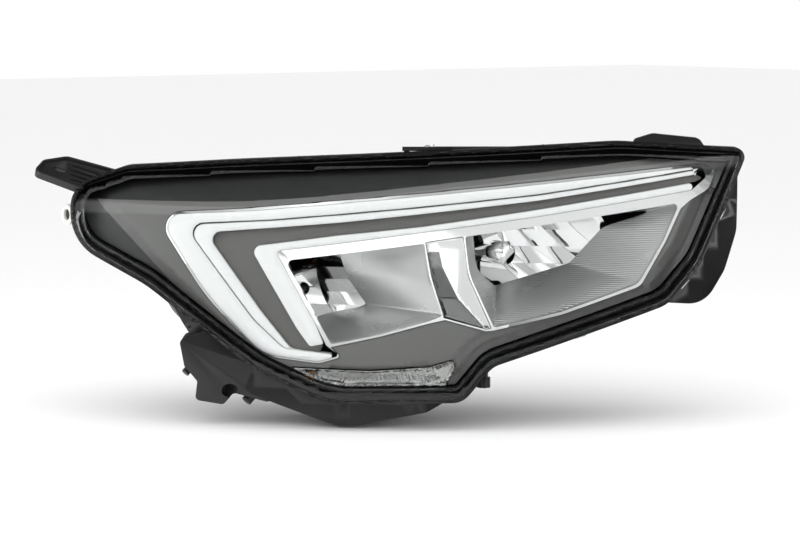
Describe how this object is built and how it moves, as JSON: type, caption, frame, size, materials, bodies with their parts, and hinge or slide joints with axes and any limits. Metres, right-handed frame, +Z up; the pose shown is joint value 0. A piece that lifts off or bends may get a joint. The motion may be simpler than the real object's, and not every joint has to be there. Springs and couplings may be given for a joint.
{
  "type": "car headlight",
  "caption": "Swept car headlight with clear wrap-round lens, hooked daytime light guides, two reflector chambers, turn signal window, adjusters and bulb access caps.",
  "frame": {"origin": "centre of the steel bush's bore in the lower outer bracket, the primary fixing point", "axes": "+X across the car towards its centre, +Y backwards along the beam axes, +Z up; the lamp shines along -Y"},
  "size_m": [0.5019, 0.4315, 0.2406],
  "materials": {
    "black_housing": "black glass-filled polypropylene, fine moulded grain",
    "clear_lens": "clear hard-coated polycarbonate, gloss",
    "sealant": "black butyl sealant",
    "dark_trim": "dark warm grey, fine satin grain",
    "infill_grey": "dark grey satin",
    "light_guide": "milky white light guide, satin gloss",
    "bright_chrome": "vacuum aluminised, mirror bright",
    "satin_liner": "satin aluminised with fine flutes",
    "board_white": "white solder mask",
    "carrier_grey": "grey thermoset plastic",
    "natural_nylon": "natural translucent nylon",
    "zinc_steel": "zinc plated",
    "bulb_glass": "clear quartz glass",
    "amber_glass": "amber glass",
    "holder_black": "black engineering plastic",
    "fluted_clear": "clear plastic with moulded flutes",
    "cap_rubber": "soft black rubber",
    "cap_plastic": "black moulded plastic",
    "drive_white": "white acetal"
  },
  "bodies": {
    "housing": {"bezel": "dark_trim", "bracket_bush": "zinc_steel", "centre_divider": "bright_chrome", "connector_pins": "zinc_steel", "connector_shell": "holder_black", "driver_module": "black_housing", "drl_frame": "bright_chrome", "drl_infill": "infill_grey", "drl_inner_guide": "light_guide", "drl_led_board": "board_white", "drl_outer_guide": "light_guide", "front_lens": "clear_lens", "high_beam_liner": "satin_liner", "housing": "black_housing", "lens_clips": "zinc_steel", "lens_seal": "sealant", "level_knob": "holder_black", "level_motor": "holder_black", "low_beam_liner": "satin_liner", "lower_outer_bracket": "black_housing", "peg_sleeve": "natural_nylon", "pivot_stud": "zinc_steel", "side_peg": "black_housing", "top_rail": "black_housing", "turn_signal_optic": "fluted_clear", "turn_signal_reflector": "bright_chrome", "upper_inner_bracket": "black_housing", "upper_outer_bracket": "black_housing", "vent_caps": "holder_black"},
    "pivot_bush": {"pivot_bush": "natural_nylon"},
    "reflector_unit": {"low_beam_reflector": "bright_chrome", "high_beam_reflector": "bright_chrome", "reflector_carrier": "carrier_grey", "aim_socket": "carrier_grey", "bulb_shield": "zinc_steel"},
    "low_bulb": {"low_beam_bulb": "bulb_glass", "low_bulb_holder": "holder_black"},
    "high_bulb": {"high_beam_bulb": "bulb_glass", "high_bulb_holder": "holder_black"},
    "level_shaft": {"level_motor_shaft": "drive_white"},
    "aim_screw": {"aim_screw": "drive_white"},
    "turn_bulb": {"turn_signal_bulb": "amber_glass", "turn_signal_holder": "holder_black"},
    "low_cap": {"low_beam_cap": "cap_plastic", "low_cap_seal": "cap_rubber"},
    "high_cap": {"high_beam_cap": "cap_plastic", "high_cap_seal": "cap_rubber"}
  },
  "joints": [
    {"name": "horizontal_aim", "type": "hinge", "parent": "housing", "child": "pivot_bush", "pos_m": [0.16922, -0.0276, 0.149], "axis": [0, 0, 1], "range_deg": [-2, 2]},
    {"name": "level_tilt", "type": "hinge", "parent": "pivot_bush", "child": "reflector_unit", "pos_m": [0.16922, -0.0276, 0.149], "axis": [0.8098, -0.5867, 0], "range_deg": [-2.5, 2.5]},
    {"name": "level_drive", "type": "slide", "parent": "housing", "child": "level_shaft", "axis": [0, 1, 0], "range_m": [-0.0045, 0.0045]},
    {"name": "aim_drive", "type": "slide", "parent": "housing", "child": "aim_screw", "axis": [0, 1, 0], "range_m": [-0.0048, 0.0048]},
    {"name": "low_bulb_twist", "type": "hinge", "parent": "reflector_unit", "child": "low_bulb", "pos_m": [0.21822, -0.0646, 0.112], "axis": [0, 1, 0], "range_deg": [-35, 0]},
    {"name": "high_bulb_twist", "type": "hinge", "parent": "reflector_unit", "child": "high_bulb", "pos_m": [0.08022, 0.0304, 0.081], "axis": [0, 1, 0], "range_deg": [-35, 0]},
    {"name": "turn_bulb_twist", "type": "hinge", "parent": "housing", "child": "turn_bulb", "pos_m": [0.09843, -0.00964, 0.0115], "axis": [-0.6157, -0.788, 0], "range_deg": [0, 40]},
    {"name": "low_cap_pull", "type": "slide", "parent": "housing", "child": "low_cap", "axis": [0, 1, 0], "range_m": [0, 0.06]},
    {"name": "high_cap_pull", "type": "slide", "parent": "housing", "child": "high_cap", "axis": [0, 1, 0], "range_m": [0, 0.06]}
  ],
  "couplings": [
    {"joint": "level_drive", "follows": "level_tilt", "m_per_rad": 0.080984},
    {"joint": "aim_drive", "follows": "horizontal_aim", "m_per_rad": 0.127}
  ]
}
